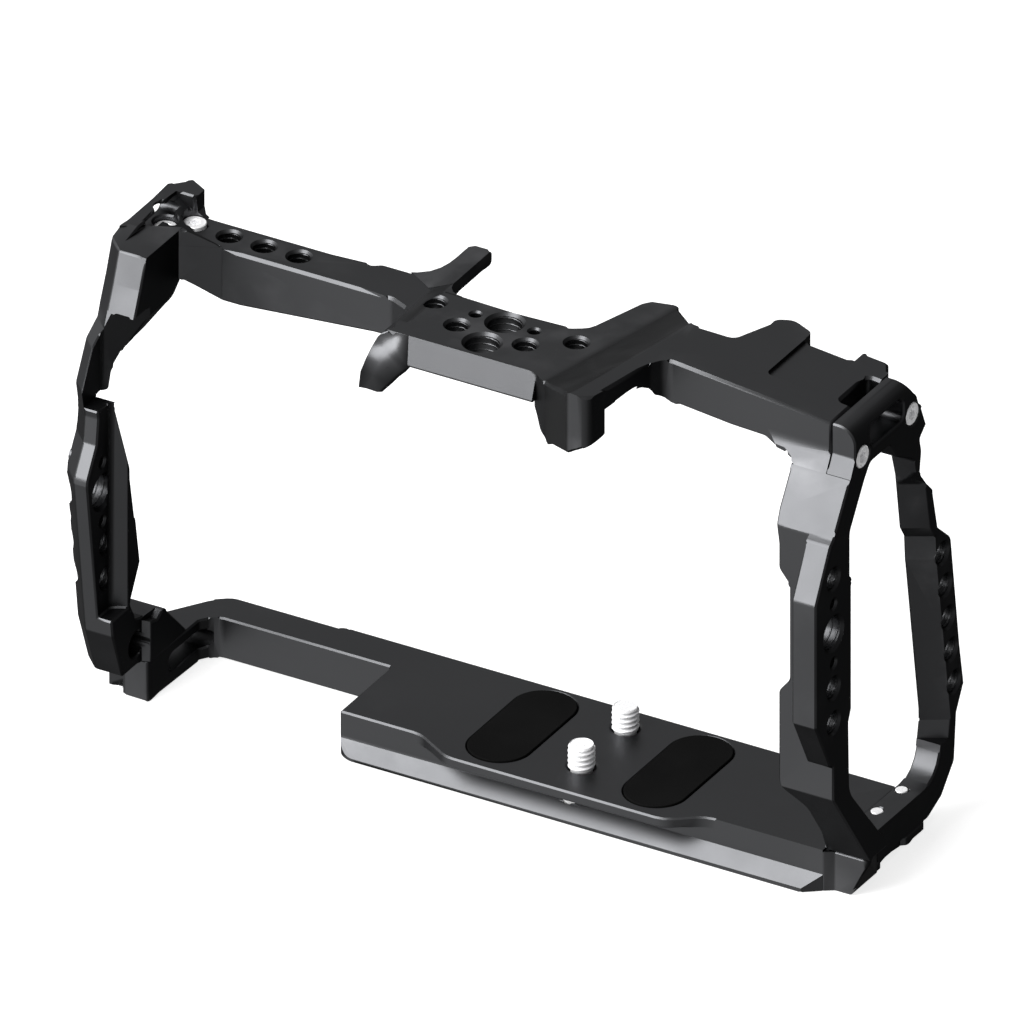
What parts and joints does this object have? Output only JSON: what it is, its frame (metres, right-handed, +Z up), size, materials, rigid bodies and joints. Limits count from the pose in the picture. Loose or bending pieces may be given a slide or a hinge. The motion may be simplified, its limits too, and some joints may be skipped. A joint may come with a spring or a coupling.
{
  "type": "camera cage",
  "caption": "Machined cage around a small camera body, with threaded accessory holes, a dovetail base, strap slots and captive camera screws.",
  "frame": {"origin": "axis of the front camera screw at the top face of the base plate", "axes": "+X to the camera operator's right seen from the front of the picture, +Y towards the camera's back, +Z up"},
  "size_m": [0.2002, 0.0751, 0.1261],
  "materials": {
    "black_anodised": "fine blasted, black anodised, semi-gloss",
    "pad_rubber": "matt moulded silicone",
    "camera_screw_steel": "turned stainless steel",
    "frame_screw_steel": "stainless steel"
  },
  "bodies": {
    "cage": {"base_plate": "black_anodised", "top_plate": "black_anodised", "left_side_frame": "black_anodised", "right_side_frame": "black_anodised", "left_base_pad": "pad_rubber", "right_base_pad": "pad_rubber", "right_top_screw_front": "frame_screw_steel", "right_top_screw_rear": "frame_screw_steel", "right_base_screw_front": "frame_screw_steel", "right_base_screw_rear": "frame_screw_steel", "left_top_screw_outer": "frame_screw_steel", "left_top_screw_inner": "frame_screw_steel", "left_base_screw_outer": "frame_screw_steel", "left_base_screw_inner": "frame_screw_steel"},
    "front_screw": {"front_camera_screw": "camera_screw_steel"},
    "rear_screw": {"rear_camera_screw": "camera_screw_steel"}
  },
  "joints": [
    {"name": "front_screw_turn", "type": "hinge", "parent": "cage", "child": "front_screw", "pos_m": [0, 0, 0], "axis": [0, 0, 1], "continuous": true},
    {"name": "rear_screw_turn", "type": "hinge", "parent": "cage", "child": "rear_screw", "pos_m": [0, 0.02, 0], "axis": [0, 0, 1], "continuous": true}
  ]
}
